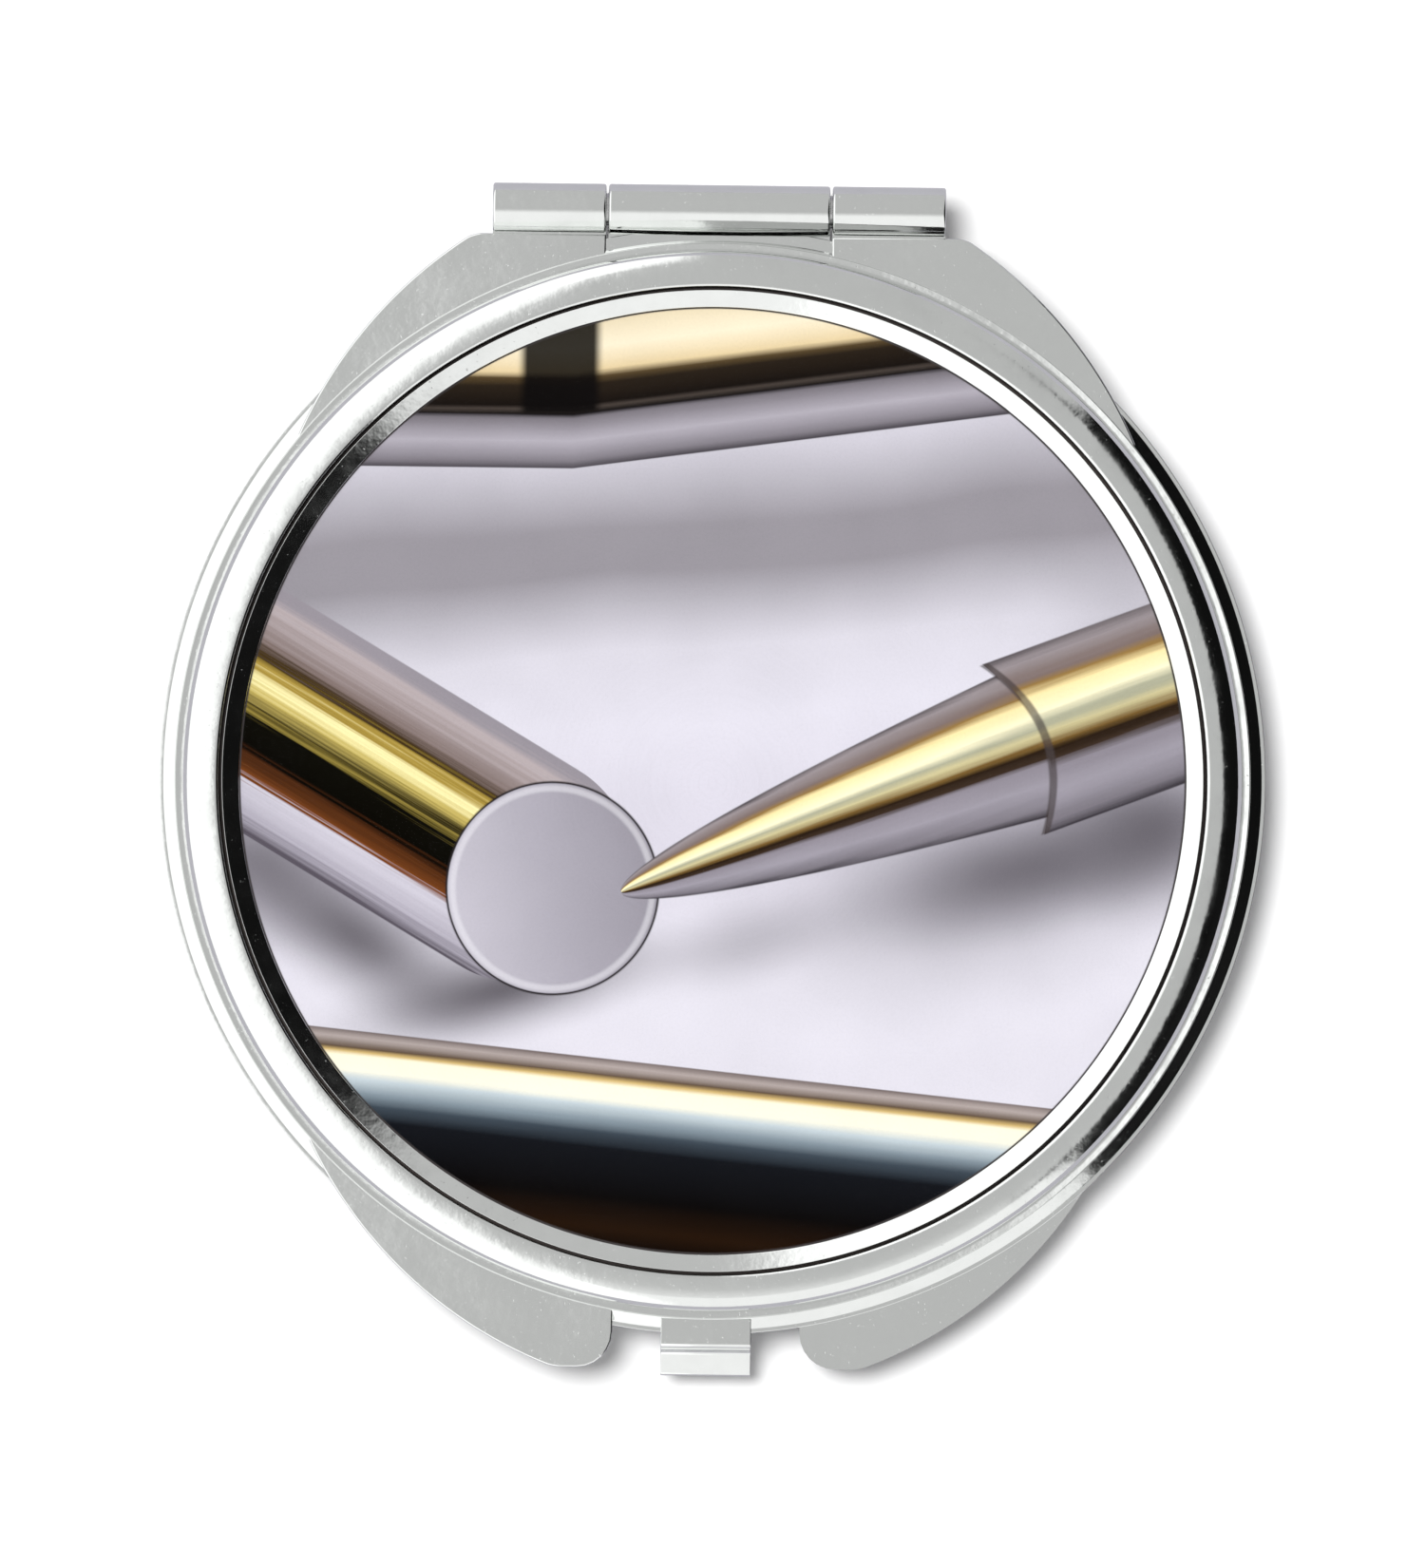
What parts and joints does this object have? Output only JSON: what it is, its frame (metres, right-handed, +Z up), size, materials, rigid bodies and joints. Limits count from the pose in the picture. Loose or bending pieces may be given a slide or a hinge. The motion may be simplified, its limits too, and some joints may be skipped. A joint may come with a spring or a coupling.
{
  "type": "folding pocket mirror",
  "caption": "Round folding pocket mirror: two stamped chrome halves on a barrel hinge, a picture disc in the lid, a flat and a magnifying mirror inside, thumb wings and a latch tab.",
  "frame": {"origin": "on the surface that the closed case stands on, under the middle of its length and width", "axes": "+Z up through the picture in the lid, +Y towards the hinge, +X to the right with the hinge at the back"},
  "size_m": [0.065, 0.07, 0.0072],
  "materials": {
    "case_chrome": "bright plated, slightly orange-peeled",
    "bezel_chrome": "bright plated",
    "pin_steel": "drawn wire",
    "insert_metal": "mill finish",
    "adhesive_foam": "matt",
    "printed_picture": "gloss print",
    "clear_film": "clear and glossy",
    "mirror_glass": "silvered",
    "ring_plastic": "silver, moulded"
  },
  "bodies": {
    "base": {"base_shell": "case_chrome", "hinge_pin": "pin_steel", "base_mirror": "mirror_glass", "base_mirror_pad": "adhesive_foam", "base_mirror_ring": "ring_plastic"},
    "lid": {"lid_shell": "case_chrome", "insert_adhesive": "adhesive_foam", "insert_plate": "insert_metal", "print_sheet": "printed_picture", "print_cover": "clear_film", "insert_bezel": "bezel_chrome", "lid_mirror": "mirror_glass", "lid_mirror_pad": "adhesive_foam", "lid_mirror_ring": "ring_plastic"}
  },
  "joints": [
    {"name": "lid_hinge", "type": "hinge", "parent": "base", "child": "lid", "pos_m": [0, 0.0335, 0.0036], "axis": [-1, 0, 0], "range_deg": [0, 180]}
  ]
}
